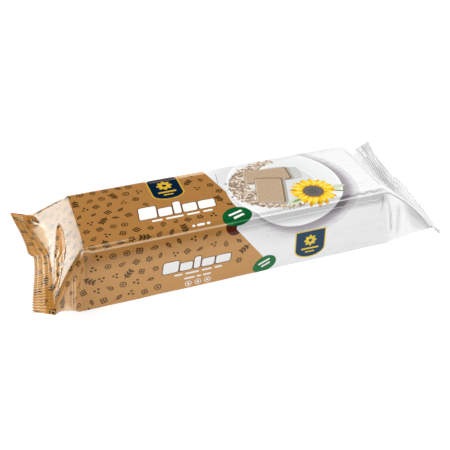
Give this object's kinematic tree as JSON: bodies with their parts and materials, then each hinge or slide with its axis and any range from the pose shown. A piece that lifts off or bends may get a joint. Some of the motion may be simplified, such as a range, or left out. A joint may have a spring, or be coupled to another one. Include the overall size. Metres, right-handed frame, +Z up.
{
  "type": "flow-wrapped halva bar pack",
  "caption": "Sealed flow-wrap pack of a halva bar, lying flat: a long printed film block with gable-folded ends and ribbed, zigzag-cut crimps.",
  "frame": {"origin": "middle of the base, under the middle of the pack's box", "axes": "+X along the pack towards its white end, +Z up from the base, -Y towards the front side"},
  "size_m": [0.1816, 0.0724, 0.0304],
  "materials": {
    "film": null
  },
  "bodies": {
    "root": {"halva_pack": "film"}
  },
  "joints": []
}
